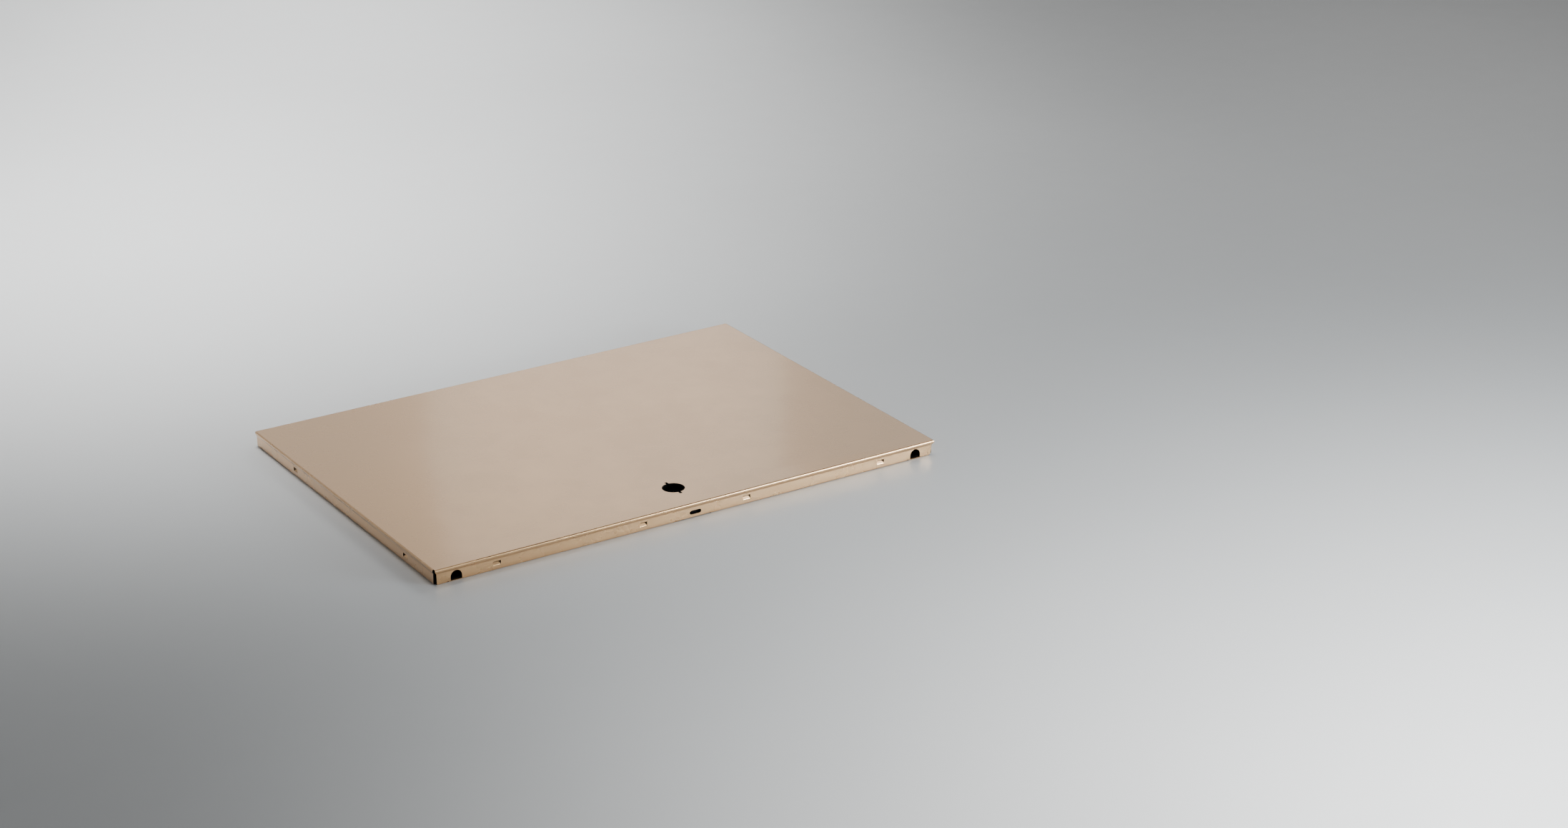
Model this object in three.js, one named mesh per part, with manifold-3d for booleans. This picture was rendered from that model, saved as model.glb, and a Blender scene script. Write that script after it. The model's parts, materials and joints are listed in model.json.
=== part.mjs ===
// A double-skinned sheet-steel cabinet door leaf, lying face up: lacquered outer pan, snap-in inner
// panel, and between them the turn latch, the hinge sockets, corner keys, stiffeners and damping pads.
// Millimetres. +Z is up (the face), +X runs along the latch edge, and -Y is the latch edge.
// The origin is on the floor plane, under the centre of the leaf.
import * as THREE from "three";
import { mergeVertices } from "three/addons/utils/BufferGeometryUtils.js";
import Module from "manifold-3d";

const wasm = await Module();
wasm.setup();

// ---- Driving dimensions of the leaf ----
const LEAF_W = 500;
const LEAF_D = 350;
const LEAF_H = 14;
const SHEET = 1.0; // outer pan
const THIN_SHEET = 0.8; // inner panel and stiffeners
const GAP = 0.3; // clearance between neighbouring pieces
const BOND_GAP = 0.1; // clearance above what is bonded under the face
const FACE_BOTTOM = LEAF_H - SHEET;

// ---- Modelling allowances ----
const OVERCUT = 1; // how far a cutter reaches past what it cuts
const OVERLAP = 0.1; // how far two joined shapes reach into each other
const EDGE_REACH = 4; // how far a folded edge's section reaches into the face
const FINE = 48; // sides of a large circle
const SIDES = 24;
const FEW_SIDES = 16;
const HEXAGON = 6;

// ---- Edge profile: u is the distance inward from the rim's outer plane, z the height ----
const TOP_BEND = 0.9; // outer radius where the face turns into the rim
const RIM_BOTTOM = 11.9; // the rim is upright down to here
const STEP_BOTTOM = 9.9; // the step in below the rim ends here
const STEP_SAG = 0.3; // the step's inner skin lies this much lower than its outer skin
const WALL_IN = 1.0; // the wall stands this far in from the rim
const WALL_BACK = WALL_IN + SHEET; // the wall's inner plane
const ARCH_REACH = 0.2; // the arch's cutter goes this far behind the wall
const LIP_BEND = 1.2; // outer radius of the bottom bend
const LIP_IN = 3.6; // the return lip ends this far in from the rim
const ARC_STEPS = 4;
const STEP_STEPS = 6;
const CHAMFER_TOP = 1.9; // the walls' ends are chamfered below this height

// How far each edge stops short of the leaf's corners: at the rim, at the wall, and by its chamfer.
const CORNERS = {
  front: { low: { rim: 1.0, wall: 2.6, chamfer: 0.3 }, high: { rim: 0.6, wall: 2.6, chamfer: 4.0 } },
  rear: { low: { rim: 1.0, wall: 2.6, chamfer: 0.3 }, high: { rim: 0.6, wall: 2.6, chamfer: 4.0 } },
  left: { low: { rim: 1.4, wall: 2.3, chamfer: 0.3 }, high: { rim: 2.9, wall: 3.8, chamfer: 0.3 } },
  right: { low: { rim: 2.9, wall: 3.8, chamfer: 0.3 }, high: { rim: 1.4, wall: 2.3, chamfer: 0.3 } },
};

// ---- Openings ----
const KNOB_Y = -137.8;
const KNOB_HOLE_R = 10;
const KEYWAY_R = 13.3; // how far the two keyways reach from the hole's centre
const KEYWAY_W = 2.6;
const BOLT_SLOT = { width: 11.6, height: 3.6, z: 5.1 };
const ARCH = { at: 229.4, halfWidth: 5.3, top: 9.45, sill: 1.0 };
const RELIEF = { fromArch: 7.9, width: 1.3, height: 1.1 };
const LATCH_GAP = { from: -16.5, to: 15.3 }; // the lip is left out here, to make room for the latch
const LANCE = { width: 7.5, sill: 3.9, top: 7.9, lean: 2.5, sideGap: 0.35, root: 0.4 };
const TONGUE_TIP = { below: 0.25, slope: 0.4 }; // the tongue's tip, under the top of its window
const LONG_LANCES = [-191.8, -51.8, 51.8, 191.8];
const SIDE_LANCES = [-120.8, 91.5];

// ---- Inner panel ----
const PANEL_BOTTOM = 0.3;
const PANEL_TOP = PANEL_BOTTOM + THIN_SHEET;
const FLANGE_IN = LIP_IN + GAP;
const FLANGE_TOP = 10.2;
const FLANGE_END = 16; // each flange stops this far from the leaf's corner
const CATCH_WINDOW = { width: 9.5, bottom: 5.9, top: 8.25 };
const FLANGE_ROOM = 0.5; // clearance of a flange beside the sockets and the latch case

// ---- Stiffeners and damping pads ----
const HAT = { crown: 22, flange: 11, slope: 3, top: FACE_BOTTOM - BOND_GAP, bottom: PANEL_TOP + 0.1 };
const HAT_HALF_LENGTH = 218;
const HAT_FRONT_Y = -62;
const HAT_REAR_Y = 78;
const PAD = { t: 2.0, cornerR: 6 };
const PAD_END = 208; // the pads reach this far along X
const PAD_BESIDE_LATCH = 42;

// ---- Corner keys ----
const KEY = { back: 0.35, legX: 8.2, legY: 12.5, t: 4.4, chamfer: 1.5, bottom: 1.35 };

// ---- Hinge sockets, and the spring clip in the roof of each ----
const SOCKET = { halfWidth: 8.2, length: 26, bottom: 1.4, top: 12.2, slopeRun: 4, slopeDrop: 2.5 };
const SOCKET_BORE = { half: 4.9, top: 9.1, sill: 2.4, end: 2 };
const SOCKET_FRONT = WALL_BACK + GAP;
const CLIP_SEAT = { half: 3.4, from: 4, bottom: 7.6, top: 10.3 };
const CLIP = { half: 2.9, t: 0.4, top: 10.1 };
// The clip's upper side: distance behind the socket's front, and drop below CLIP.top.
const CLIP_LINE = [
  [5, 0],
  [9, 0.5],
  [13, 1.6],
  [16, 0.5],
  [22.5, 0],
];

// ---- Latch: a pinion on the rotor drives a rack in the bolt ----
const MODULE = 1.0;
const PINION_TEETH = 12;
const PITCH_R = (MODULE * PINION_TEETH) / 2;
const PINION_TIP_R = PITCH_R + 0.8 * MODULE;
const PINION_ROOT_R = PITCH_R - 0.95 * MODULE;
const RACK_ROOT = PITCH_R + 1.0 * MODULE;
const RACK_TIP = PITCH_R - 0.7 * MODULE;
const PRESSURE_ANGLE = THREE.MathUtils.degToRad(20);
const BACKLASH = 0.16;
const RUN_GAP = 0.5; // clearance round the pinion's teeth
const SLIDE_GAP = 0.1; // clearance of the faces that slide
const TURN = Math.PI / 2;
const THROW = PITCH_R * TURN;
const BOLT = { t: 3.2, tip: -171.6, nose: 1.2, tongueHalf: 4.4, side: 2.2, end: 2.4, shoulder: 3 };
const BOLT_BOTTOM = BOLT_SLOT.z - BOLT.t / 2;
const BOLT_TOP = BOLT_SLOT.z + BOLT.t / 2;
const BOLT_ROOM = PINION_TIP_R + RUN_GAP; // half of the bolt's window
const CASE = { halfWidth: 17, front: -172.7, rear: -116.4, bottom: 1.4, top: 12.7, wall: 1.5, floor: 1.1 };
const CASE_FLOOR = CASE.bottom + CASE.floor;
const LID_T = 1.4;
const CASE_RIM = CASE.top - LID_T - SLIDE_GAP;
const MOUTH = { sideGap: 0.3, halfHeight: 1.9 };
const FRONT_RAIL = { inner: 3.2, outer: 4.6, from: CASE.front + CASE.wall, to: -148.5 };
const REAR_RAIL = { inner: 7.6, outer: 8.8, from: -147, to: CASE.rear - CASE.wall };
const EAR = { x: 20.6, ys: [-162, -124], r: 4.2, t: 2.0, holeGap: 0.2 };
const EAR_POINTS = EAR.ys.flatMap((y) => [-EAR.x, EAR.x].map((x) => [x, y]));
const EAR_BOTTOM = CASE_RIM - EAR.t;
const ROTOR = { cup: 10.6, cupBore: 9.2, bottom: 7.1, floor: 8.6, flange: 12, flangeBottom: 10, top: 11 };
const STUB = { r: 2.6, gap: 0.08, endGap: 0.2 };
const DRIVE_SQUARE = { width: 6.4, cornerR: 0.6, depth: 3.4 };
const LUG_SLOT_RISE = 0.6; // the lug slots stop this far above the cup's floor
const COLLAR = { gap: 0.25, wall: 0.7, top: 13.9, keyTaper: 1.6 }; // the lid's collar lines the knob hole

// ---- Latch fasteners ----
const SCREW = { r: 1.1, shank: 5.3, headR: 2.1, headT: 0.9, lidGap: 0.2, seatGap: 0.15 };
const SCREW_SLOT = { half: 0.3, reach: 1.3, depth: 0.5 };
const SCREW_HOLE_DEPTH = 6.5;
const SCREW_POINTS = [
  [-13.2, -167.2],
  [13.2, -167.2],
  [-13.2, -121.2],
  [13.2, -121.2],
];
const SCREW_POST_R = 2.4;
const STUD = { r: 1.5, footR: 2.3, footT: 0.7, bottom: 5.2, gap: 0.02 };
const NUT = { r: 3.15, t: 2.5 };
const THREAD_GAP = 0.05;
const SPRING = { t: 0.4, bottom: 3.4, top: 6.8, wallGap: 0.7, bow: 0.6, shoulder: 1.2 };

// ---- Materials ----
const material = (color, roughness, metalness) =>
  new THREE.MeshStandardMaterial({ color, roughness, metalness });
const lacquer = material(0xc4a78a, 0.35, 0.6);
const backLacquer = material(0xb79a7d, 0.45, 0.5);
const blackPolymer = material(0x101010, 0.6, 0.0);
const blackSteel = material(0x16161a, 0.4, 0.8);
const brightSteel = material(0xb9bcc0, 0.35, 1.0);
const galvanised = material(0x9aa0a4, 0.5, 0.9);
const bitumen = material(0x1c1b1a, 0.9, 0.0);

// ---- Solids: geometry in, geometry out, with joins and cuts between ----
function solidOf(geometry) {
  const bare = geometry.clone();
  bare.deleteAttribute("normal");
  bare.deleteAttribute("uv");
  const merged = mergeVertices(bare, 1e-4);
  return new wasm.Manifold(
    new wasm.Mesh({
      numProp: 3,
      vertProperties: merged.attributes.position.array,
      triVerts: new Uint32Array(merged.index.array),
    }),
  );
}

function geometryOf(solid) {
  const mesh = solid.getMesh();
  const geometry = new THREE.BufferGeometry();
  geometry.setAttribute("position", new THREE.BufferAttribute(new Float32Array(mesh.vertProperties), 3));
  geometry.setIndex(new THREE.BufferAttribute(new Uint32Array(mesh.triVerts), 1));
  const flat = geometry.toNonIndexed();
  flat.computeVertexNormals();
  return flat;
}

const join = (...solids) => solids.reduce((all, next) => all.add(next));
const cut = (body, ...cutters) => cutters.reduce((left, cutter) => left.subtract(cutter), body);

function box(x0, x1, y0, y1, z0, z1) {
  const geometry = new THREE.BoxGeometry(x1 - x0, y1 - y0, z1 - z0);
  return solidOf(geometry.translate((x0 + x1) / 2, (y0 + y1) / 2, (z0 + z1) / 2));
}

// An outline in X and Y, extruded from z0 to z1.
function prism(shape, z0, z1, curveSegments = 12) {
  const geometry = new THREE.ExtrudeGeometry(shape, { depth: z1 - z0, bevelEnabled: false, curveSegments });
  return solidOf(geometry.translate(0, 0, z0));
}

function post(radius, x, y, z0, z1, sides = SIDES) {
  const geometry = new THREE.CylinderGeometry(radius, radius, z1 - z0, sides).rotateX(Math.PI / 2);
  return solidOf(geometry.translate(x, y, (z0 + z1) / 2));
}

const outline = (points) => new THREE.Shape(points.map(([x, y]) => new THREE.Vector2(x, y)));

function arc(cx, cy, radius, from, to, steps) {
  return Array.from({ length: steps + 1 }, (_, i) => {
    const angle = THREE.MathUtils.degToRad(from + ((to - from) * i) / steps);
    return [cx + radius * Math.cos(angle), cy + radius * Math.sin(angle)];
  });
}

// ---- Walls: local x is u, local y is the height, local z runs along the wall ----
const UP = new THREE.Vector3(0, 0, 1);
const WALLS = {
  front: { inward: new THREE.Vector3(0, 1, 0), reach: LEAF_D / 2, length: LEAF_W },
  right: { inward: new THREE.Vector3(-1, 0, 0), reach: LEAF_W / 2, length: LEAF_D },
  rear: { inward: new THREE.Vector3(0, -1, 0), reach: LEAF_D / 2, length: LEAF_W },
  left: { inward: new THREE.Vector3(1, 0, 0), reach: LEAF_W / 2, length: LEAF_D },
};

function onWall(wall, geometry) {
  const along = new THREE.Vector3().crossVectors(wall.inward, UP);
  const frame = new THREE.Matrix4().makeBasis(wall.inward, UP, along);
  frame.setPosition(wall.inward.clone().multiplyScalar(-wall.reach));
  return solidOf(geometry.applyMatrix4(frame));
}

// A section in u and z, run along the wall from s0 to s1.
function run(wall, section, s0, s1) {
  const geometry = new THREE.ExtrudeGeometry(section, { depth: s1 - s0, bevelEnabled: false });
  return onWall(wall, geometry.translate(0, 0, s0));
}

// An outline in s and z, cut through the wall from u0 to u1.
function through(wall, shape, u0, u1, curveSegments = 10) {
  const geometry = new THREE.ExtrudeGeometry(shape, { depth: u1 - u0, bevelEnabled: false, curveSegments });
  return onWall(wall, geometry.rotateY(-Math.PI / 2).translate(u1, 0, 0));
}

// ---- Outer pan ----
function edgeSection() {
  const drop = RIM_BOTTOM - STEP_BOTTOM;
  const easeAt = (t) => WALL_IN * t * t * (3 - 2 * t);
  const step = (inward, lower) =>
    Array.from({ length: STEP_STEPS + 1 }, (_, i) => {
      const t = i / STEP_STEPS;
      return [easeAt(t) + inward, RIM_BOTTOM - drop * t - lower];
    });
  return outline([
    [TOP_BEND + EDGE_REACH, LEAF_H],
    ...arc(TOP_BEND, LEAF_H - TOP_BEND, TOP_BEND, 90, 180, ARC_STEPS),
    ...step(0, 0),
    ...arc(WALL_IN + LIP_BEND, LIP_BEND, LIP_BEND, 180, 270, ARC_STEPS),
    [LIP_IN, 0],
    [LIP_IN, SHEET],
    [WALL_BACK, SHEET],
    ...step(SHEET, STEP_SAG).reverse(),
    [SHEET, FACE_BOTTOM],
    [TOP_BEND + EDGE_REACH, FACE_BOTTOM],
  ]);
}

// What an open corner takes off the end of an edge: less at the rim than at the wall below it.
function cornerCut(half, end, side) {
  const s = (inset) => side * (half - inset);
  return outline([
    [s(-OVERCUT), -OVERCUT],
    [s(end.wall + end.chamfer), -OVERCUT],
    [s(end.wall + end.chamfer), 0],
    [s(end.wall), CHAMFER_TOP],
    [s(end.wall), STEP_BOTTOM],
    [s(end.rim), RIM_BOTTOM],
    [s(end.rim), LEAF_H + OVERCUT],
    [s(-OVERCUT), LEAF_H + OVERCUT],
  ]);
}

function archShape(halfWidth, sill, top) {
  const spring = top - halfWidth;
  const shape = new THREE.Shape();
  shape.moveTo(-halfWidth, sill);
  shape.lineTo(halfWidth, sill);
  shape.lineTo(halfWidth, spring);
  shape.absarc(0, spring, halfWidth, 0, Math.PI, false);
  return shape;
}

function roundedRectangle(width, height, radius) {
  const [w, h] = [width / 2, height / 2];
  const shape = new THREE.Shape();
  shape.moveTo(-w + radius, -h);
  shape.absarc(w - radius, -h + radius, radius, -Math.PI / 2, 0, false);
  shape.absarc(w - radius, h - radius, radius, 0, Math.PI / 2, false);
  shape.absarc(-w + radius, h - radius, radius, Math.PI / 2, Math.PI, false);
  shape.absarc(-w + radius, -h + radius, radius, Math.PI, 1.5 * Math.PI, false);
  return shape;
}

const moved = (shape, dx, dy, segments = 10) =>
  outline(shape.extractPoints(segments).shape.map((p) => [p.x + dx, p.y + dy]));

function rectangle(s0, s1, z0, z1) {
  return outline([
    [s0, z0],
    [s1, z0],
    [s1, z1],
    [s0, z1],
  ]);
}

function lancesOf(side) {
  if (side === "left") {
    return SIDE_LANCES.map((y) => -y);
  }
  return side === "right" ? SIDE_LANCES : LONG_LANCES;
}

function lanceWindow(wall, s) {
  const half = LANCE.width / 2;
  const window = rectangle(s - half, s + half, LANCE.sill, LANCE.top);
  return through(wall, window, WALL_IN - OVERCUT, WALL_BACK + OVERCUT);
}

// The tongue is hinged on the window's sill and leans in, so that its top catches the inner panel.
function lanceTongue(wall, s) {
  const half = LANCE.width / 2 - LANCE.sideGap;
  const tip = LANCE.top - TONGUE_TIP.below;
  const section = outline([
    [WALL_IN, LANCE.sill - LANCE.root],
    [WALL_BACK, LANCE.sill - LANCE.root],
    [WALL_BACK, LANCE.sill],
    [WALL_BACK + LANCE.lean, tip - TONGUE_TIP.slope],
    [WALL_IN + LANCE.lean, tip],
    [WALL_IN, LANCE.sill],
  ]);
  return run(wall, section, s - half, s + half);
}

// A round hole with a keyway on each side.
function keyedHole(radius, keyRadius, keyWidth, z0, z1) {
  const round = post(radius, 0, KNOB_Y, z0, z1, FINE);
  const keys = box(-keyWidth / 2, keyWidth / 2, KNOB_Y - keyRadius, KNOB_Y + keyRadius, z0, z1);
  return join(round, keys);
}

function archAndRelief(wall, s) {
  const arch = moved(archShape(ARCH.halfWidth, ARCH.sill, ARCH.top), s, 0);
  const at = s - RELIEF.fromArch;
  const relief = rectangle(at - RELIEF.width / 2, at + RELIEF.width / 2, -OVERCUT, RELIEF.height);
  return [
    through(wall, arch, WALL_IN - OVERCUT, WALL_BACK + ARCH_REACH),
    through(wall, relief, -OVERCUT, LIP_IN + OVERCUT),
  ];
}

function edgeOf(side) {
  const wall = WALLS[side];
  const half = wall.length / 2;
  const { low, high } = CORNERS[side];
  let edge = run(wall, edgeSection(), -half + low.rim, half - high.rim);
  edge = cut(
    edge,
    through(wall, cornerCut(half, low, -1), -OVERCUT, LIP_IN + OVERCUT),
    through(wall, cornerCut(half, high, 1), -OVERCUT, LIP_IN + OVERCUT),
  );
  for (const s of lancesOf(side)) {
    edge = join(cut(edge, lanceWindow(wall, s)), lanceTongue(wall, s));
  }
  if (side === "front" || side === "rear") {
    edge = cut(edge, ...archAndRelief(wall, -ARCH.at), ...archAndRelief(wall, ARCH.at));
  }
  return edge;
}

// The bolt's slot, and below it the stretch without a lip, with a relief notch at its end.
function latchEdgeCuts() {
  const wall = WALLS.front;
  const { from, to } = LATCH_GAP;
  const { width, height: slotHeight, z } = BOLT_SLOT;
  const slot = moved(roundedRectangle(width, slotHeight, slotHeight / 2), 0, z);
  const lip = rectangle(from, to, -OVERCUT, SHEET);
  const notch = rectangle(to - RELIEF.width, to, -OVERCUT, RELIEF.height);
  return [
    through(wall, slot, WALL_IN - OVERCUT, WALL_BACK + OVERCUT),
    through(wall, lip, WALL_BACK, LIP_IN + OVERCUT),
    through(wall, notch, -OVERCUT, LIP_IN + OVERCUT),
  ];
}

function outerPan() {
  const x = LEAF_W / 2 - TOP_BEND;
  const y = LEAF_D / 2 - TOP_BEND;
  const face = box(-x, x, -y, y, FACE_BOTTOM, LEAF_H);
  const pan = join(face, ...Object.keys(WALLS).map(edgeOf));
  const hole = keyedHole(KNOB_HOLE_R, KEYWAY_R, KEYWAY_W, FACE_BOTTOM - OVERCUT, LEAF_H + OVERCUT);
  return cut(pan, hole, ...latchEdgeCuts());
}

// ---- Inner panel: a shallow tray whose flanges carry a window for each lance ----
function innerPanel() {
  const x = LEAF_W / 2 - FLANGE_IN;
  const y = LEAF_D / 2 - FLANGE_IN;
  const flangeBack = FLANGE_IN + THIN_SHEET;
  let panel = box(-x, x, -y, y, PANEL_BOTTOM, PANEL_TOP);
  for (const [side, wall] of Object.entries(WALLS)) {
    const half = wall.length / 2 - FLANGE_END;
    const section = rectangle(FLANGE_IN, flangeBack, PANEL_BOTTOM, FLANGE_TOP);
    panel = join(panel, run(wall, section, -half, half));
    for (const s of lancesOf(side)) {
      const w = CATCH_WINDOW.width / 2;
      const window = rectangle(s - w, s + w, CATCH_WINDOW.bottom, CATCH_WINDOW.top);
      panel = cut(panel, through(wall, window, FLANGE_IN - OVERCUT, flangeBack + OVERCUT));
    }
  }
  const socketRoom = SOCKET.halfWidth + FLANGE_ROOM;
  const caseRoom = EAR.x + EAR.r + FLANGE_ROOM;
  const flangeCut = (wall, s, room) => {
    const gap = rectangle(s - room, s + room, PANEL_TOP, FLANGE_TOP + OVERCUT);
    return through(wall, gap, 0, flangeBack + OVERLAP);
  };
  return cut(
    panel,
    flangeCut(WALLS.front, 0, caseRoom),
    ...[WALLS.front, WALLS.rear].flatMap((wall) =>
      [-ARCH.at, ARCH.at].map((s) => flangeCut(wall, s, socketRoom)),
    ),
  );
}

// ---- Stiffeners and damping pads ----
function stiffener(y) {
  const t = THIN_SHEET;
  const crown = HAT.crown / 2;
  const brim = crown + HAT.flange;
  const foot = crown - HAT.slope;
  const section = outline([
    [-brim, HAT.top],
    [-brim, HAT.top - t],
    [-crown - t, HAT.top - t],
    [-foot - t, HAT.bottom],
    [foot + t, HAT.bottom],
    [crown + t, HAT.top - t],
    [brim, HAT.top - t],
    [brim, HAT.top],
    [crown, HAT.top],
    [foot, HAT.bottom + t],
    [-foot, HAT.bottom + t],
    [-crown, HAT.top],
  ]);
  const geometry = new THREE.ExtrudeGeometry(section, { depth: 2 * HAT_HALF_LENGTH, bevelEnabled: false });
  geometry.rotateX(Math.PI / 2).rotateZ(Math.PI / 2);
  return solidOf(geometry.translate(-HAT_HALF_LENGTH, y, 0));
}

function dampingPad(x0, x1, y0, y1) {
  const shape = roundedRectangle(x1 - x0, y1 - y0, PAD.cornerR);
  const top = FACE_BOTTOM - BOND_GAP;
  return prism(moved(shape, (x0 + x1) / 2, (y0 + y1) / 2), top - PAD.t, top);
}

// ---- Corner keys: black blocks that brace the open corners and close them from inside ----
function cornerKey(sx, sy) {
  const near = WALL_BACK + KEY.back;
  const point = (dx, dy) => [sx * (LEAF_W / 2 - near - dx), sy * (LEAF_D / 2 - near - dy)];
  const shape = outline([
    point(0, 0),
    point(KEY.legX, 0),
    point(KEY.legX, KEY.t),
    point(KEY.t + KEY.chamfer, KEY.t),
    point(KEY.t, KEY.t + KEY.chamfer),
    point(KEY.t, KEY.legY),
    point(0, KEY.legY),
  ]);
  return prism(shape, KEY.bottom, FACE_BOTTOM - GAP);
}

// ---- Hinge sockets: sleeves behind the arched windows, and the spring clip in each one's roof ----
// The wall that a socket at x stands behind, and its place along that wall.
const socketPlace = (x, sy) => (sy < 0 ? [WALLS.front, x] : [WALLS.rear, -x]);

function hingeSocket(x, sy) {
  const [wall, s] = socketPlace(x, sy);
  const back = SOCKET_FRONT + SOCKET.length;
  const section = outline([
    [SOCKET_FRONT, SOCKET.bottom],
    [back, SOCKET.bottom],
    [back, SOCKET.top - SOCKET.slopeDrop],
    [back - SOCKET.slopeRun, SOCKET.top],
    [SOCKET_FRONT, SOCKET.top],
  ]);
  const body = run(wall, section, s - SOCKET.halfWidth, s + SOCKET.halfWidth);
  const bore = moved(archShape(SOCKET_BORE.half, SOCKET_BORE.sill, SOCKET_BORE.top), s, 0);
  const seat = rectangle(s - CLIP_SEAT.half, s + CLIP_SEAT.half, CLIP_SEAT.bottom, CLIP_SEAT.top);
  const deep = back - SOCKET_BORE.end;
  return cut(
    body,
    through(wall, bore, SOCKET_FRONT - OVERCUT, deep),
    through(wall, seat, SOCKET_FRONT + CLIP_SEAT.from, deep),
  );
}

function socketClip(x, sy) {
  const [wall, s] = socketPlace(x, sy);
  const line = CLIP_LINE.map(([behind, drop]) => [SOCKET_FRONT + behind, CLIP.top - drop]);
  const section = outline([...line, ...line.map(([u, z]) => [u, z - CLIP.t]).reverse()]);
  return run(wall, section, s - CLIP.half, s + CLIP.half);
}

// ---- Turn latch ----
// One flank of a pinion tooth, from root to tip, as [radius, half angle] pairs.
function involuteFlank() {
  const baseR = PITCH_R * Math.cos(PRESSURE_ANGLE);
  const involute = (r) => Math.tan(Math.acos(baseR / r)) - Math.acos(baseR / r);
  const halfAtPitch = (Math.PI * MODULE - 2 * BACKLASH) / 4 / PITCH_R;
  const halfAt = (r) => halfAtPitch + involute(PITCH_R) - involute(Math.max(r, baseR));
  const middleOf = (r) => (r + PITCH_R) / 2;
  const radii = [PINION_ROOT_R, baseR, middleOf(baseR), PITCH_R, middleOf(PINION_TIP_R), PINION_TIP_R];
  return radii.map((r) => [r, halfAt(r)]);
}

function pinionShape() {
  const flank = involuteFlank();
  const points = [];
  for (let tooth = 0; tooth < PINION_TEETH; tooth++) {
    // A tooth points along -X at rest, into a gap of the rack.
    const centre = Math.PI + (tooth * 2 * Math.PI) / PINION_TEETH;
    for (const [r, half] of flank) {
      points.push([r * Math.cos(centre - half), r * Math.sin(centre - half)]);
    }
    for (const [r, half] of [...flank].reverse()) {
      points.push([r * Math.cos(centre + half), r * Math.sin(centre + half)]);
    }
  }
  return outline(points);
}

// The rotor: a cup under the knob hole that takes the knob's stem, on a pinion and a pivot stub.
function latchRotor() {
  const { cup, cupBore, bottom, floor, flange, flangeBottom, top } = ROTOR;
  const pinionBottom = BOLT_BOTTOM - GAP - SLIDE_GAP;
  const lugReach = flange + OVERCUT;
  const lugBottom = floor + LUG_SLOT_RISE;
  const drive = moved(
    roundedRectangle(DRIVE_SQUARE.width, DRIVE_SQUARE.width, DRIVE_SQUARE.cornerR),
    0,
    KNOB_Y,
    ARC_STEPS,
  );
  const body = join(
    prism(moved(pinionShape(), 0, KNOB_Y), pinionBottom, bottom),
    post(STUB.r, 0, KNOB_Y, CASE.bottom + STUB.endGap, pinionBottom + OVERLAP),
    post(cup, 0, KNOB_Y, bottom, flangeBottom + OVERLAP, FINE),
    post(flange, 0, KNOB_Y, flangeBottom, top, FINE),
  );
  return cut(
    body,
    post(cupBore, 0, KNOB_Y, floor, top + OVERCUT, FINE),
    box(-KEYWAY_W / 2, KEYWAY_W / 2, KNOB_Y - lugReach, KNOB_Y + lugReach, lugBottom, top + OVERCUT),
    prism(drive, floor - DRIVE_SQUARE.depth, floor + OVERCUT),
  );
}

// One gap of the rack, centred on y.
function rackGap(y) {
  const halfAt = (x) => (Math.PI * MODULE) / 4 - (x - PITCH_R) * Math.tan(PRESSURE_ANGLE);
  const mouth = RACK_TIP - RUN_GAP;
  const gap = outline([
    [-mouth, y - halfAt(mouth)],
    [-mouth, y + halfAt(mouth)],
    [-RACK_ROOT, y + halfAt(RACK_ROOT)],
    [-RACK_ROOT, y - halfAt(RACK_ROOT)],
  ]);
  return prism(gap, BOLT_BOTTOM - OVERCUT, BOLT_TOP + OVERCUT);
}

// The bolt: a tongue through the slot, widening into a frame with a rack on its -X side.
function latchBolt() {
  const front = KNOB_Y - BOLT_ROOM;
  const rear = KNOB_Y + BOLT_ROOM + THROW;
  const frameFront = front - BOLT.end;
  const frameRear = rear + BOLT.end;
  const rackSide = RACK_ROOT + BOLT.side;
  const plainSide = BOLT_ROOM + BOLT.side;
  const half = BOLT.tongueHalf;
  const body = outline([
    [-half + BOLT.nose, BOLT.tip],
    [half - BOLT.nose, BOLT.tip],
    [half, BOLT.tip + BOLT.nose],
    [half, frameFront - BOLT.shoulder],
    [plainSide, frameFront],
    [plainSide, frameRear],
    [-rackSide, frameRear],
    [-rackSide, frameFront],
    [-half, frameFront - BOLT.shoulder],
    [-half, BOLT.tip + BOLT.nose],
  ]);
  // One gap of the rack is centred on the pinion's axis at rest, the others follow at the tooth pitch.
  const pitch = Math.PI * MODULE;
  const before = Math.floor((KNOB_Y - front) / pitch - 0.5);
  const after = Math.floor((rear - KNOB_Y) / pitch);
  const gaps = [];
  for (let i = -before; i <= after; i++) {
    gaps.push(rackGap(KNOB_Y + i * pitch));
  }
  return cut(
    prism(body, BOLT_BOTTOM, BOLT_TOP),
    box(-RACK_TIP, BOLT_ROOM, front, rear, BOLT_BOTTOM - OVERCUT, BOLT_TOP + OVERCUT),
    ...gaps,
  );
}

function caseRail(side, rail) {
  const [x0, x1] = side < 0 ? [-rail.outer, -rail.inner] : [rail.inner, rail.outer];
  const top = BOLT_BOTTOM - SLIDE_GAP;
  return box(x0, x1, rail.from - OVERLAP, rail.to + OVERLAP, CASE_FLOOR - OVERLAP, top);
}

function caseEar(x, y) {
  const edge = CASE.halfWidth - OVERLAP;
  const [x0, x1] = x < 0 ? [x, -edge] : [edge, x];
  const root = box(x0, x1, y - EAR.r, y + EAR.r, EAR_BOTTOM, CASE_RIM);
  return join(root, post(EAR.r, x, y, EAR_BOTTOM, CASE_RIM));
}

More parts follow.
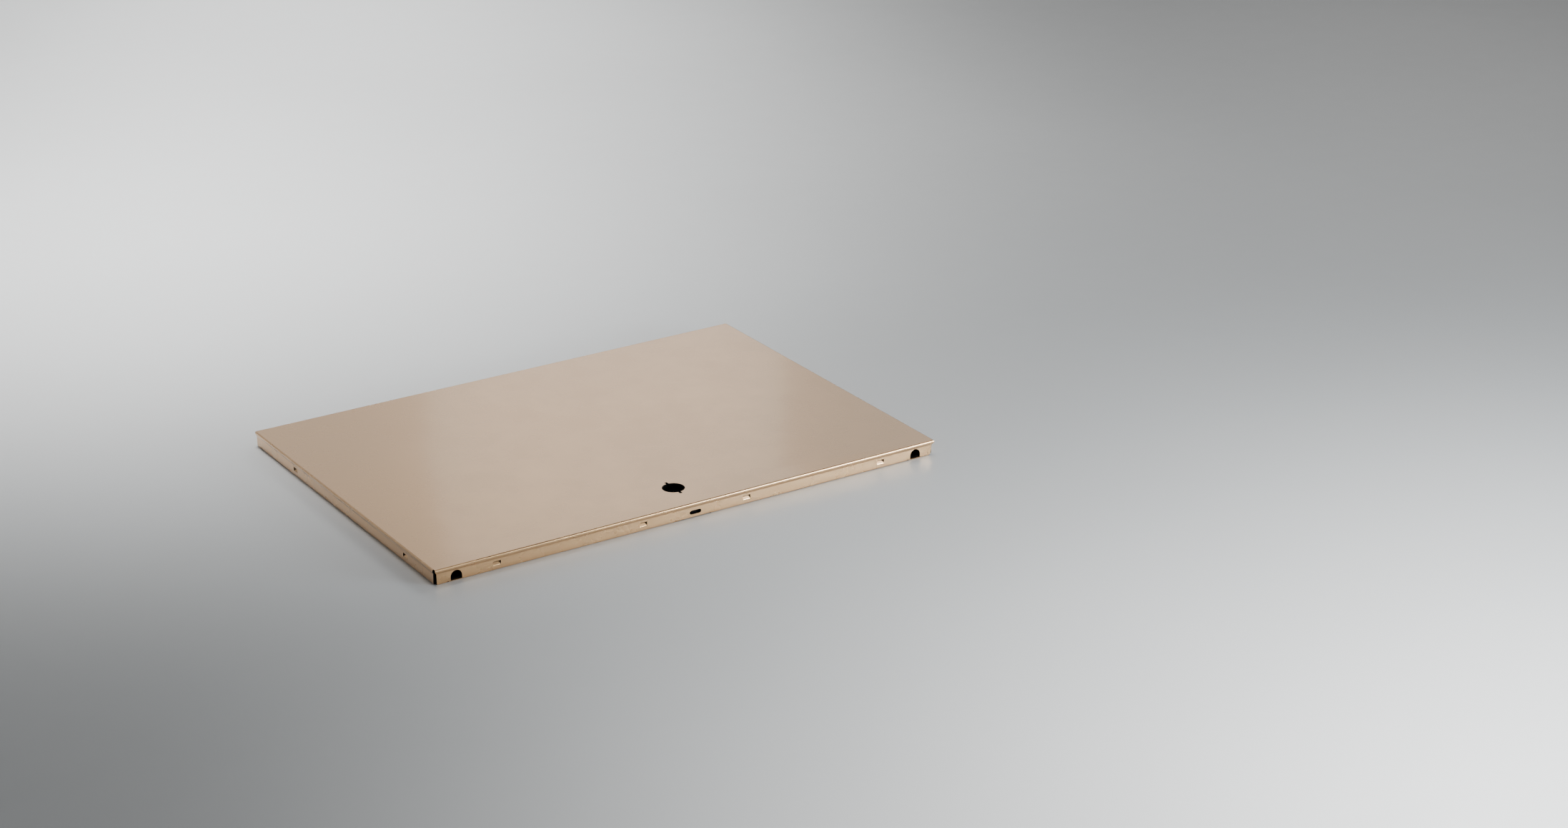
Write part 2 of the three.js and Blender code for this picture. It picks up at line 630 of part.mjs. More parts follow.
function latchCase() {
  const { halfWidth, front, rear, bottom, top, wall } = CASE;
  const inner = halfWidth - wall;
  const shell = box(-halfWidth, halfWidth, front, rear, bottom, CASE_RIM);
  const hollow = box(-inner, inner, front + wall, rear - wall, CASE_FLOOR, top);
  const mouthHalf = BOLT.tongueHalf + MOUTH.sideGap;
  const mouthBottom = BOLT_SLOT.z - MOUTH.halfHeight;
  const mouthTop = BOLT_SLOT.z + MOUTH.halfHeight;
  const holeBottom = CASE.top - LID_T - SCREW_HOLE_DEPTH;
  const body = join(
    cut(shell, hollow),
    ...[-1, 1].flatMap((side) => [FRONT_RAIL, REAR_RAIL].map((rail) => caseRail(side, rail))),
    ...EAR_POINTS.map(([x, y]) => caseEar(x, y)),
    ...SCREW_POINTS.map(([x, y]) => post(SCREW_POST_R, x, y, bottom + OVERLAP, CASE_RIM, FEW_SIDES)),
  );
  return cut(
    body,
    box(-mouthHalf, mouthHalf, front - OVERCUT, front + wall + OVERCUT, mouthBottom, mouthTop),
    post(STUB.r + STUB.gap, 0, KNOB_Y, bottom - OVERCUT, CASE_FLOOR + OVERCUT),
    ...EAR_POINTS.map(([x, y]) => post(STUD.r + EAR.holeGap, x, y, bottom, top + OVERCUT)),
    ...SCREW_POINTS.map(([x, y]) => post(SCREW.r + THREAD_GAP, x, y, holeBottom, top + OVERCUT, FEW_SIDES)),
  );
}

function latchLid() {
  const { halfWidth, front, rear, top } = CASE;
  const bottom = top - LID_T;
  const lining = (inset, z0, z1) =>
    keyedHole(KNOB_HOLE_R - inset, KEYWAY_R - inset, KEYWAY_W - COLLAR.keyTaper * inset, z0, z1);
  const seatBottom = top - SCREW.headT - SLIDE_GAP;
  return cut(
    box(-halfWidth, halfWidth, front, rear, bottom, top).add(lining(COLLAR.gap, top - OVERLAP, COLLAR.top)),
    lining(COLLAR.gap + COLLAR.wall, bottom - OVERCUT, COLLAR.top + OVERCUT),
    ...SCREW_POINTS.flatMap(([x, y]) => [
      post(SCREW.r + SCREW.lidGap, x, y, bottom - OVERCUT, top + OVERCUT, FEW_SIDES),
      post(SCREW.headR + SCREW.seatGap, x, y, seatBottom, top + OVERCUT, FEW_SIDES),
    ]),
  );
}

function latchScrews() {
  const { r, shank, headR, headT } = SCREW;
  const { half, reach, depth } = SCREW_SLOT;
  const headBottom = CASE.top - headT;
  return SCREW_POINTS.map(([x, y]) => {
    const screw = join(
      post(headR, x, y, headBottom, CASE.top - THREAD_GAP, FEW_SIDES),
      post(r, x, y, headBottom - shank, headBottom + OVERLAP, FEW_SIDES),
    );
    return cut(screw, box(x - half, x + half, y - reach, y + reach, CASE.top - depth, CASE.top + OVERCUT));
  });
}

// Weld studs hang from the face; their broad welded feet are just under it.
function weldStuds() {
  const top = FACE_BOTTOM - STUD.gap;
  const footBottom = top - STUD.footT;
  return EAR_POINTS.map(([x, y]) =>
    join(
      post(STUD.footR, x, y, footBottom, top, FEW_SIDES),
      post(STUD.r, x, y, STUD.bottom, footBottom + OVERLAP, FEW_SIDES),
    ),
  );
}

function studNuts() {
  const top = EAR_BOTTOM - SLIDE_GAP;
  return EAR_POINTS.map(([x, y]) => {
    const nut = post(NUT.r, x, y, top - NUT.t, top, HEXAGON);
    return cut(nut, post(STUD.r + THREAD_GAP, x, y, 0, LEAF_H, FEW_SIDES));
  });
}

// A bowed strip that presses on the bolt's side, so that the bolt stays where it is put.
function frictionSpring() {
  const boltSide = BOLT_ROOM + BOLT.side;
  const atWall = CASE.halfWidth - CASE.wall - SPRING.wallGap;
  const line = [
    [atWall, -160],
    [atWall, -154],
    [boltSide + SPRING.shoulder, -143],
    [boltSide + SPRING.bow, -139],
    [boltSide + SPRING.shoulder, -135],
    [atWall, -127],
    [atWall, -125],
  ];
  const strip = outline([...line, ...line.map(([x, y]) => [x + SPRING.t, y]).reverse()]);
  return prism(strip, SPRING.bottom, SPRING.top);
}

// ---- The assembly ----
const group = new THREE.Group();

function add(name, solid, look) {
  const mesh = new THREE.Mesh(geometryOf(solid), look);
  mesh.name = name;
  group.add(mesh);
}

const addEach = (name, solids, look) => solids.forEach((solid, i) => add(`${name}_${i + 1}`, solid, look));

add("outer_pan", outerPan(), lacquer);
add("inner_panel", innerPanel(), backLacquer);
add("stiffener_front", stiffener(HAT_FRONT_Y), galvanised);
add("stiffener_rear", stiffener(HAT_REAR_Y), galvanised);
add("damping_pad_front_left", dampingPad(-PAD_END, -PAD_BESIDE_LATCH, -152, -92), bitumen);
add("damping_pad_front_right", dampingPad(PAD_BESIDE_LATCH, PAD_END, -152, -92), bitumen);
add("damping_pad_centre", dampingPad(-PAD_END, PAD_END, -32, 48), bitumen);
add("damping_pad_rear", dampingPad(-PAD_END, PAD_END, 108, 152), bitumen);
for (const [end, sy] of [["front", -1], ["rear", 1]]) {
  for (const [side, sx] of [["left", -1], ["right", 1]]) {
    add(`corner_key_${end}_${side}`, cornerKey(sx, sy), blackPolymer);
    add(`hinge_socket_${end}_${side}`, hingeSocket(sx * ARCH.at, sy), blackPolymer);
    add(`socket_clip_${end}_${side}`, socketClip(sx * ARCH.at, sy), brightSteel);
  }
}
add("latch_case", latchCase(), blackPolymer);
add("latch_lid", latchLid(), blackPolymer);
add("latch_rotor", latchRotor(), blackPolymer);
add("latch_bolt", latchBolt(), blackSteel);
add("friction_spring", frictionSpring(), brightSteel);
addEach("latch_screw", latchScrews(), brightSteel);
addEach("weld_stud", weldStuds(), brightSteel);
addEach("stud_nut", studNuts(), brightSteel);

export default group;
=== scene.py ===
"""Looks for a folded sheet-steel cabinet door leaf lying face up on a plain floor.

Metres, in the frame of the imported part: +Z up out of the face, +X along the latch edge and -Y out of it.
"""

import json
import math
import bmesh
import bpy
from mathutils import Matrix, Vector


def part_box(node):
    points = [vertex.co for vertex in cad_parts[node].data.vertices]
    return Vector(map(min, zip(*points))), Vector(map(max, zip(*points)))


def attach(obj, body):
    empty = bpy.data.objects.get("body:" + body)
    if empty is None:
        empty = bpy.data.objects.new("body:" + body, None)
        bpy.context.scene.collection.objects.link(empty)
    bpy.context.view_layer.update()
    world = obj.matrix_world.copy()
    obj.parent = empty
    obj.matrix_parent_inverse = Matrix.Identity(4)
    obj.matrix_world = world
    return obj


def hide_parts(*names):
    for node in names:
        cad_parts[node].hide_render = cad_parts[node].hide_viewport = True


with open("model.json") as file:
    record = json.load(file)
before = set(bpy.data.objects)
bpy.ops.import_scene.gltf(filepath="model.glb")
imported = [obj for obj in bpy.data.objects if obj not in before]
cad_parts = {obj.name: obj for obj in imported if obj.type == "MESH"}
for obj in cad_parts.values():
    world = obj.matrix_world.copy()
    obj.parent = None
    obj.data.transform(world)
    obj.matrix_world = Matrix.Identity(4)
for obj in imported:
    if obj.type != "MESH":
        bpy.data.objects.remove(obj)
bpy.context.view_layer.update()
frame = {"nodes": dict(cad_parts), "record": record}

MM = 0.001

# ---- The leaf's box, read from the frame ----
PAN_LOW, PAN_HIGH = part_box("outer_pan")
HALF_W = (PAN_HIGH[0] - PAN_LOW[0]) / 2
HALF_D = (PAN_HIGH[1] - PAN_LOW[1]) / 2
HEIGHT = PAN_HIGH[2] - PAN_LOW[2]

# ---- The folded sheet, with a rounder top bend, a longer step below the rim and a shorter wall at the
# latch than in the part's source; u is the distance in from the rim's outer plane ----
SHEET = 1.0 * MM
TOP_BEND = 1.2 * MM  # outer radius where the face turns into the rim
RIM_BOTTOM = 12.1 * MM
STEP_BOTTOM = 9.7 * MM
WALL_IN = 1.0 * MM
LIP_BEND = 1.2 * MM  # outer radius of the bottom bend
LIP_IN = 3.6 * MM
INNER_TOP_BEND = 0.06 * MM
STEP_SAG = 0.3 * MM  # the step's inner skin lies this much lower than its outer skin
BEND_STEPS = 10
CHAMFER_TOP = 1.9 * MM
BEND_CLEARANCE = 1.02  # near the face a bend stops this many bend radii short of the corner

KNOB_Y = -137.8 * MM
KNOB_HOLE_R = 10.0 * MM
KEYWAY_R = 13.3 * MM
KEYWAY_W = 2.6 * MM
BOLT_SLOT_W = 11.6 * MM
BOLT_SLOT_H = 3.6 * MM
BOLT_SLOT_Z = 5.1 * MM
ARCH_AT = 229.4 * MM
ARCH_HALF = 5.3 * MM
ARCH_TOP = 9.45 * MM
ARCH_SILL = 1.02 * MM
RELIEF_FROM_ARCH = 7.9 * MM
RELIEF_W = 1.3 * MM
RELIEF_H = 1.1 * MM
LATCH_GAP_FROM = -16.5 * MM  # the return lip is left out here, to make room for the latch
LATCH_GAP_TO = 15.3 * MM
LATCH_GAP_H = 0.6 * MM
LANCE_W = 7.5 * MM
LANCE_SILL = 3.9 * MM
LANCE_TOP = 7.9 * MM
LONG_LANCES = [-191.8 * MM, -51.8 * MM, 51.8 * MM, 191.8 * MM]
SIDE_LANCES = [-120.8 * MM, 91.5 * MM]
TONGUE_LEAN = math.radians(37)
TONGUE_BEND = 0.9 * MM
TONGUE_ROOT = 0.5 * MM
TONGUE_T = 0.94 * MM
TONGUE_SIDE_GAP = 0.35 * MM
TONGUE_LENGTH = 4.3 * MM
TONGUE_STEPS = 6
ARCH_STEPS = 24
SLOT_STEPS = 14
HOLE_STEPS = 36

OVERCUT = 1 * MM  # how far a cutter reaches past what it cuts
ARCH_OVERCUT = 0.2 * MM
LIP_OVERCUT = 0.02 * MM
NEAR = 0.1 * MM  # how close a face's centre must be, to belong to the knob hole
SAME_PLANE = 0.01 * MM
ALONG = 0.9  # two directions whose dot product is past this run together
SQUARE = 0.1  # and below this they are square to each other

SHEET_ROUNDING = 0.14 * MM
PIECE_ROUNDING = 0.06 * MM
WELD_DISTANCE = 0.002 * MM
SHARP = math.radians(40)

# How far each edge stops short of the leaf's corners, in mm: at its low and high end, (rim, wall, chamfer).
CORNER_CUTS = {
    "front": ((1.0, 2.6, 0.3), (0.6, 2.6, 4.0)),
    "right": ((2.9, 3.8, 0.3), (1.4, 2.3, 0.3)),
    "rear": ((1.0, 2.6, 0.3), (0.6, 2.6, 4.0)),
    "left": ((1.4, 2.3, 0.3), (2.9, 3.8, 0.3)),
}


# ---- Walls: each has an inward direction, and runs along inward x up ----
UP = Vector((0, 0, 1))


class Wall:
    def __init__(self, inward, reach, half):
        self.inward = Vector(inward)
        self.along = self.inward.cross(UP)
        self.reach = reach
        self.half = half

    def point(self, s, u, z):
        return self.inward * (u - self.reach) + self.along * s + UP * z


WALLS = {
    "front": Wall((0, 1, 0), HALF_D, HALF_W),
    "right": Wall((-1, 0, 0), HALF_W, HALF_D),
    "rear": Wall((0, -1, 0), HALF_D, HALF_W),
    "left": Wall((1, 0, 0), HALF_W, HALF_D),
}


def lances_of(side):
    if side == "left":
        return [-y for y in SIDE_LANCES]
    return SIDE_LANCES if side == "right" else LONG_LANCES


# ---- Mesh building ----
def new_object(name, mesh_bm):
    bmesh.ops.recalc_face_normals(mesh_bm, faces=mesh_bm.faces)
    mesh = bpy.data.meshes.new(name)
    mesh_bm.to_mesh(mesh)
    mesh_bm.free()
    made = bpy.data.objects.new(name, mesh)
    bpy.context.collection.objects.link(made)
    return made


def add_prism(mesh_bm, base, offset):
    """A closed prism: the polygon base, and its copy moved by offset."""
    low = [mesh_bm.verts.new(p) for p in base]
    high = [mesh_bm.verts.new(p + offset) for p in base]
    mesh_bm.faces.new(low)
    mesh_bm.faces.new(high)
    for i in range(len(low)):
        j = (i + 1) % len(low)
        mesh_bm.faces.new((low[i], low[j], high[j], high[i]))


def combine(thing, tool_bm, operation):
    """Joins a tool to the object, or cuts it away, and makes the result the object's mesh."""
    tool = new_object("tool", tool_bm)
    boolean = thing.modifiers.new("boolean", "BOOLEAN")
    boolean.object = tool
    boolean.operation = operation
    boolean.solver = "EXACT"
    graph = bpy.context.evaluated_depsgraph_get()
    result = bpy.data.meshes.new_from_object(thing.evaluated_get(graph), depsgraph=graph)
    thing.modifiers.clear()
    old = thing.data
    thing.data = result
    bpy.data.meshes.remove(old)
    bpy.data.objects.remove(tool)


def arc(centre, radius, start, end, steps):
    """Points on an arc, from start to end degrees."""
    for i in range(steps + 1):
        angle = math.radians(start + (end - start) * i / steps)
        yield (centre[0] + radius * math.cos(angle), centre[1] + radius * math.sin(angle))


# ---- The outer pan ----
def edge_stations():
    """The folded edge from the face to its lip, as (outer, inner) pairs of (u, z)."""
    top = arc((TOP_BEND, HEIGHT - TOP_BEND), TOP_BEND, 90, 180, BEND_STEPS)
    inner_centre = (SHEET + INNER_TOP_BEND, HEIGHT - SHEET - INNER_TOP_BEND)
    stations = list(zip(top, arc(inner_centre, INNER_TOP_BEND, 90, 180, BEND_STEPS)))
    for i in range(BEND_STEPS + 1):
        t = i / BEND_STEPS
        u = WALL_IN * t * t * (3 - 2 * t)
        z = RIM_BOTTOM + (STEP_BOTTOM - RIM_BOTTOM) * t
        stations.append(((u, z), (u + SHEET, z - STEP_SAG)))
    centre = (WALL_IN + LIP_BEND, LIP_BEND)
    outer = arc(centre, LIP_BEND, 180, 270, BEND_STEPS)
    stations += zip(outer, arc(centre, LIP_BEND - SHEET, 180, 270, BEND_STEPS))
    stations.append(((LIP_IN, 0), (LIP_IN, SHEET)))
    return stations


def corner_inset(z, rim, wall, chamfer):
    """How far an edge stops short of the leaf's corner, at height z."""
    rim, wall, chamfer = rim * MM, wall * MM, chamfer * MM
    if z > HEIGHT - TOP_BEND:
        near_face = (z - HEIGHT + TOP_BEND) / TOP_BEND
        return rim + max(0.0, TOP_BEND * BEND_CLEARANCE - rim) * near_face**2
    if z > RIM_BOTTOM:
        return rim
    if z > STEP_BOTTOM:
        return wall + (rim - wall) * (z - STEP_BOTTOM) / (RIM_BOTTOM - STEP_BOTTOM)
    return wall + chamfer * max(0.0, 1 - z / CHAMFER_TOP)


def folded_sheet():
    """The face and its four folded edges as one closed skin."""
    sheet = bmesh.new()
    stations = edge_stations()
    rings = {0: [], 1: []}
    for name, wall in WALLS.items():
        low_cut, high_cut = CORNER_CUTS[name]
        rows = []
        for pair in stations:
            row = []
            for u, z in pair:
                start = -wall.half + corner_inset(z, *low_cut)
                end = wall.half - corner_inset(z, *high_cut)
                row.append([sheet.verts.new(wall.point(s, u, z)) for s in (start, end)])
            rows.append(row)
        for upper, lower in zip(rows, rows[1:]):
            for skin in (0, 1):
                sheet.faces.new((upper[skin][0], upper[skin][1], lower[skin][1], lower[skin][0]))
            for end in (0, 1):
                sheet.faces.new((upper[0][end], lower[0][end], lower[1][end], upper[1][end]))
        lip = rows[-1]
        sheet.faces.new((lip[0][0], lip[0][1], lip[1][1], lip[1][0]))
        for skin in (0, 1):
            u, z = stations[0][skin]
            corner = sheet.verts.new(wall.point(wall.half - u, u, z))
            rings[skin] += [*rows[0][skin], corner]
    for ring in rings.values():
        sheet.faces.new(ring)
    count = len(rings[0])
    for i in range(count):
        if i % 3 == 0:
            continue  # an edge's own row, not a corner
        j = (i + 1) % count
        sheet.faces.new((rings[0][i], rings[0][j], rings[1][j], rings[1][i]))
    return new_object("outer_pan_sheet", sheet)


def cut_through(cutters, wall, outline, u0, u1):
    """A prism through a wall, from u0 to u1; the outline is in s and z."""
    add_prism(cutters, [wall.point(s, u0, z) for s, z in outline], wall.inward * (u1 - u0))


def rectangle(s0, s1, z0, z1):
    return [(s0, z0), (s1, z0), (s1, z1), (s0, z1)]


def arch_outline(s):
    spring = ARCH_TOP - ARCH_HALF
    sill = [(s - ARCH_HALF, ARCH_SILL), (s + ARCH_HALF, ARCH_SILL)]
    return [*sill, *arc((s, spring), ARCH_HALF, 0, 180, ARCH_STEPS)]


def slot_outline():
    r = BOLT_SLOT_H / 2
    reach = BOLT_SLOT_W / 2 - r
    right = arc((reach, BOLT_SLOT_Z), r, -90, 90, SLOT_STEPS)
    left = arc((-reach, BOLT_SLOT_Z), r, 90, 270, SLOT_STEPS)
    return [*right, *left]


def knob_hole_outline():
    """A circle with a keyway towards the latch edge and one away from it."""
    half = math.degrees(math.asin(KEYWAY_W / 2 / KNOB_HOLE_R))
    points = []
    for turn in (0, 180):
        points += arc((0, 0), KNOB_HOLE_R, turn - 90 + half, turn + 90 - half, HOLE_STEPS)
        side = 1 if turn == 0 else -1
        points += [(side * KEYWAY_W / 2, side * KEYWAY_R), (-side * KEYWAY_W / 2, side * KEYWAY_R)]
    return [Vector((x, KNOB_Y + y, 0)) for x, y in points]


def pan_openings():
    cutters = bmesh.new()
    outside = -OVERCUT
    behind_wall = WALL_IN + SHEET + OVERCUT
    behind_lip = LIP_IN + OVERCUT
    for name, wall in WALLS.items():
        half = LANCE_W / 2
        for s in lances_of(name):
            window = rectangle(s - half, s + half, LANCE_SILL, LANCE_TOP)
            cut_through(cutters, wall, window, outside, behind_wall)
        if name in ("left", "right"):
            continue
        for s in (-ARCH_AT, ARCH_AT):
            cut_through(cutters, wall, arch_outline(s), outside, WALL_IN + SHEET + ARCH_OVERCUT)
            at = s - RELIEF_FROM_ARCH
            notch = rectangle(at - RELIEF_W / 2, at + RELIEF_W / 2, outside, RELIEF_H)
            cut_through(cutters, wall, notch, outside, behind_lip)
    front = WALLS["front"]
    cut_through(cutters, front, slot_outline(), outside, behind_wall)
    lip_gap = rectangle(LATCH_GAP_FROM, LATCH_GAP_TO - RELIEF_W, outside, SHEET + LIP_OVERCUT)
    cut_through(cutters, front, lip_gap, WALL_IN + SHEET, behind_lip)
    below_face = UP * (HEIGHT - SHEET - OVERCUT)
    add_prism(cutters, [p + below_face for p in knob_hole_outline()], UP * (SHEET + 2 * OVERCUT))
    return cutters


def latch_notches():
    """Below the bolt's slot the wall ends a little higher, with a relief notch at the end."""
    cutter = bmesh.new()
    notch_from = LATCH_GAP_TO - RELIEF_W
    stretches = ((LATCH_GAP_FROM, notch_from, LATCH_GAP_H), (notch_from, LATCH_GAP_TO, RELIEF_H))
    for start, end, height in stretches:
        outline = rectangle(start, end, -OVERCUT, height)
        cut_through(cutter, WALLS["front"], outline, -OVERCUT, LIP_IN + OVERCUT)
    return cutter


def tongue_section():
    """A tongue's section in u and z: up from the sill, bent inwards, then straight to its tip."""
    middle = WALL_IN + SHEET / 2
    path = [((middle, LANCE_SILL - TONGUE_ROOT), 0.0), ((middle, LANCE_SILL), 0.0)]
    for i in range(1, TONGUE_STEPS + 1):
        a = TONGUE_LEAN * i / TONGUE_STEPS
        u = middle + TONGUE_BEND * (1 - math.cos(a))
        path.append(((u, LANCE_SILL + TONGUE_BEND * math.sin(a)), a))
    (u, z), a = path[-1]
    left = TONGUE_LENGTH - TONGUE_BEND * TONGUE_LEAN
    path.append(((u + left * math.sin(a), z + left * math.cos(a)), a))
    skins = []
    for side in (-1, 1):
        half = side * TONGUE_T / 2
        skins.append([(u + half * math.cos(a), z - half * math.sin(a)) for (u, z), a in path])
    return skins[0] + skins[1][::-1]


def tongues():
    made = bmesh.new()
    half = LANCE_W / 2 - TONGUE_SIDE_GAP
    for name, wall in WALLS.items():
        for s in lances_of(name):
            base = [wall.point(s - half, u, z) for u, z in tongue_section()]
            add_prism(made, base, wall.along * 2 * half)
    return made


def is_cut_edge(place, normal):
    """Whether a face is a cut edge of the sheet: it stands square to the sheet around it."""
    in_hole = math.hypot(place.x, place.y - KNOB_Y) < KEYWAY_R + NEAR
    if in_hole and place.z > HEIGHT - SHEET - NEAR:
        return abs(normal.z) < SQUARE
    for wall in WALLS.values():
        u = wall.reach + place.dot(wall.inward)
        inward = normal.dot(wall.inward)
        if abs(u - TOP_BEND) < SAME_PLANE and inward < -ALONG and place.z > HEIGHT - SHEET:
            return True  # the face's own edge, where the bend beside a corner is cut away
        if u > LIP_IN or abs(inward) > SQUARE:
            continue
        if abs(normal.dot(wall.along)) > ALONG:
            return True
        if LIP_BEND < place.z < STEP_BOTTOM:
            return True
    return False


def outer_pan(finish):
    pan = folded_sheet()
    combine(pan, pan_openings(), "DIFFERENCE")
    combine(pan, latch_notches(), "DIFFERENCE")
    combine(pan, tongues(), "UNION")
    pan.data.materials.clear()
    pan.data.materials.append(finish)
    pan.data.materials.append(finishes["cut_edge_painted_shade"])
    for face in pan.data.polygons:
        # cut faces get the second material, whose near-black colour is painted shade
        face.material_index = 1 if is_cut_edge(face.center, face.normal) else 0
    soften(pan)
    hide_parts("outer_pan")
    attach(pan, "leaf")


def rounded_edges(thing, width):
    bevel = thing.modifiers.new("rounded_edges", "BEVEL")
    bevel.width = width
    bevel.segments = 2
    bevel.limit_method = "ANGLE"
    bevel.angle_limit = SHARP
    return bevel


def soften(thing):
    """Rounds the sheet's sharp edges a little and shades the rest smooth."""
    rounded_edges(thing, SHEET_ROUNDING).harden_normals = True
    for polygon in thing.data.polygons:
        polygon.use_smooth = True
    thing.data.set_sharp_from_angle(angle=SHARP)


# ---- Node materials ----
class Graph:
    """A material's node tree, with short calls for the nodes that the finishes below share."""

    def __init__(self, name):
        self.material = bpy.data.materials.new(name)
        self.material.use_nodes = True
        self.nodes = self.material.node_tree.nodes
        self.links = self.material.node_tree.links
        self.shader = self.nodes["Principled BSDF"]
        self.where = self.nodes.new("ShaderNodeTexCoord").outputs["Object"]

    def constant(self, **values):
        for name, value in values.items():
            self.shader.inputs[name.replace("_", " ")].default_value = value

    def feed(self, socket, output):
        self.links.new(output, self.shader.inputs[socket])

    def stretched(self, scale):
        mapping = self.nodes.new("ShaderNodeMapping")
        mapping.inputs["Scale"].default_value = scale
        self.links.new(self.where, mapping.inputs["Vector"])
        return mapping.outputs["Vector"]

    def noise(self, scale, detail=3.0, roughness=0.5, stretch=None):
        node = self.nodes.new("ShaderNodeTexNoise")
        node.inputs["Scale"].default_value = scale
        node.inputs["Detail"].default_value = detail
        node.inputs["Roughness"].default_value = roughness
        self.links.new(self.stretched(stretch) if stretch else self.where, node.inputs["Vector"])
        return node.outputs["Fac"]

    def cells(self, scale):
        node = self.nodes.new("ShaderNodeTexVoronoi")
        node.inputs["Scale"].default_value = scale
        self.links.new(self.where, node.inputs["Vector"])
        return node.outputs["Color"]

    def ramp(self, fac, *stops):
        node = self.nodes.new("ShaderNodeValToRGB")
        elements = node.color_ramp.elements
        while len(elements) < len(stops):
            elements.new(0.5)
        for element, (place, colour) in zip(elements, stops):
            element.position = place
            element.color = (*colour, 1.0)
        self.links.new(fac, node.inputs["Fac"])
        return node.outputs["Color"]

    def levels(self, fac, low, high, start=0.3, end=0.7):
        node = self.nodes.new("ShaderNodeMapRange")
        node.inputs["From Min"].default_value = start
        node.inputs["From Max"].default_value = end
        node.inputs["To Min"].default_value = low
        node.inputs["To Max"].default_value = high
        self.links.new(fac, node.inputs["Value"])
        return node.outputs["Result"]

    def mix(self, fac, a, b, blend="MIX"):
        node = self.nodes.new("ShaderNodeMix")
        node.data_type = "RGBA"
        node.blend_type = blend
        for socket, value in ((node.inputs["Factor"], fac), (node.inputs["A"], a), (node.inputs["B"], b)):
            if isinstance(value, (int, float)):
                socket.default_value = value
            elif isinstance(value, tuple):
                socket.default_value = (*value, 1.0)
            else:
                self.links.new(value, socket)
        return node.outputs["Result"]

    def edge_wear(self, radius):
        """1 where a bevelled normal leaves the face's own, so along edges, and 0 on flat faces."""
        bevel = self.nodes.new("ShaderNodeBevel")
        bevel.samples = 4
        bevel.inputs["Radius"].default_value = radius
        flat = self.nodes.new("ShaderNodeNewGeometry").outputs["Normal"]
        dot = self.nodes.new("ShaderNodeVectorMath")
        dot.operation = "DOT_PRODUCT"
        self.links.new(bevel.outputs["Normal"], dot.inputs[0])
        self.links.new(flat, dot.inputs[1])
        return self.levels(dot.outputs["Value"], 1.0, 0.0, 0.75, 0.99)

    def bump(self, height, strength, distance, under=None):
        node = self.nodes.new("ShaderNodeBump")
        node.inputs["Strength"].default_value = strength
        node.inputs["Distance"].default_value = distance
        self.links.new(height, node.inputs["Height"])
        if under:
            self.links.new(under, node.inputs["Normal"])
        self.feed("Normal", node.outputs["Normal"])
        return node.outputs["Normal"]


def lacquer(name, warm, cool, roughness):
    """Satin metallic lacquer: fine flakes, slow drifts of tone, and a faint orange peel."""
    g = Graph(name)
    g.constant(Metallic=1.0, Coat_Weight=1.0, Coat_Roughness=0.10, Coat_IOR=1.5)
    drift = g.ramp(g.noise(4.0, 2.0), (0.35, warm), (0.65, cool))
    flakes = g.ramp(g.cells(2600.0), (0.0, (0.86, 0.86, 0.86)), (1.0, (1.1, 1.1, 1.1)))
    g.feed("Base Color", g.mix(0.12, drift, flakes, "MULTIPLY"))
    g.feed("Roughness", g.levels(g.noise(35.0, 4.0), roughness - 0.02, roughness + 0.02))
    peel = g.bump(g.noise(420.0, 2.0), 0.012, 0.2 * MM)
    g.bump(g.noise(2400.0, 2.0), 0.012, 0.05 * MM, peel)
    return g.material


def cut_edge_painted_shade():
    """The sheet's cut edges: near-black painted shade for the shade in the corner seams, the knob hole, the
    slot and the arches, on dull steel with shear lines.
    """
    g = Graph("cut_edge_painted_shade")
    g.constant(Metallic=0.7)
    shear = g.noise(900.0, 3.0, stretch=(1, 1, 8))
    # near-black base colour: painted shade for the shade in seams, holes and slots; the stretched noise gives
    # the shear lines
    g.feed("Base Color", g.ramp(shear, (0.3, (0.006, 0.0045, 0.0035)), (0.75, (0.03, 0.021, 0.014))))
    g.feed("Roughness", g.levels(g.noise(700.0, 2.0), 0.45, 0.7))
    g.bump(g.noise(1600.0, 3.0, stretch=(1, 1, 8)), 0.2, 0.03 * MM)
    return g.material


def moulded(name, colour, roughness):
    """Black moulded polymer: spark-eroded grain, flow marks and rubbed edges."""
    g = Graph(name)
    g.constant(Specular_IOR_Level=0.05)
    pale = tuple(c * 2.2 for c in colour)
    flow = g.ramp(g.noise(60.0, 3.0, stretch=(1, 3, 1)), (0.3, colour), (0.8, tuple(c * 1.5 for c in colour)))
    g.feed("Base Color", g.mix(g.edge_wear(0.25 * MM), flow, pale))
    g.feed("Roughness", g.levels(g.noise(900.0, 2.0), roughness - 0.06, roughness + 0.06))
    g.bump(g.noise(3200.0, 2.0), 0.2, 0.04 * MM)
    return g.material


def metal(name, dark, light, roughness, grain=(1, 40, 1)):
    """Rolled or plated steel: a drawn grain, patchy tone and polished edges."""
    g = Graph(name)
    g.constant(Metallic=1.0)
    tone = g.ramp(g.noise(90.0, 4.0, stretch=grain), (0.3, dark), (0.7, light))
    shine = tuple(min(1.0, c * 1.25) for c in light)
    g.feed("Base Color", g.mix(g.edge_wear(0.2 * MM), tone, shine))
    g.feed("Roughness", g.levels(g.noise(500.0, 3.0, stretch=grain), roughness - 0.08, roughness + 0.08))
    g.bump(g.noise(700.0, 3.0, stretch=grain), 0.1, 0.03 * MM)
    return g.material


def galvanised():
    """Hot-dip zinc with its spangle."""
    g = Graph("galvanised_steel")
    g.constant(Metallic=0.95)
    spangle = g.ramp(g.cells(160.0), (0.2, (0.36, 0.38, 0.40)), (0.8, (0.60, 0.62, 0.64)))
    g.feed("Base Color", spangle)
    g.feed("Roughness", g.levels(g.cells(160.0), 0.32, 0.5))
    g.bump(g.noise(300.0, 3.0), 0.1, 0.05 * MM)
    return g.material


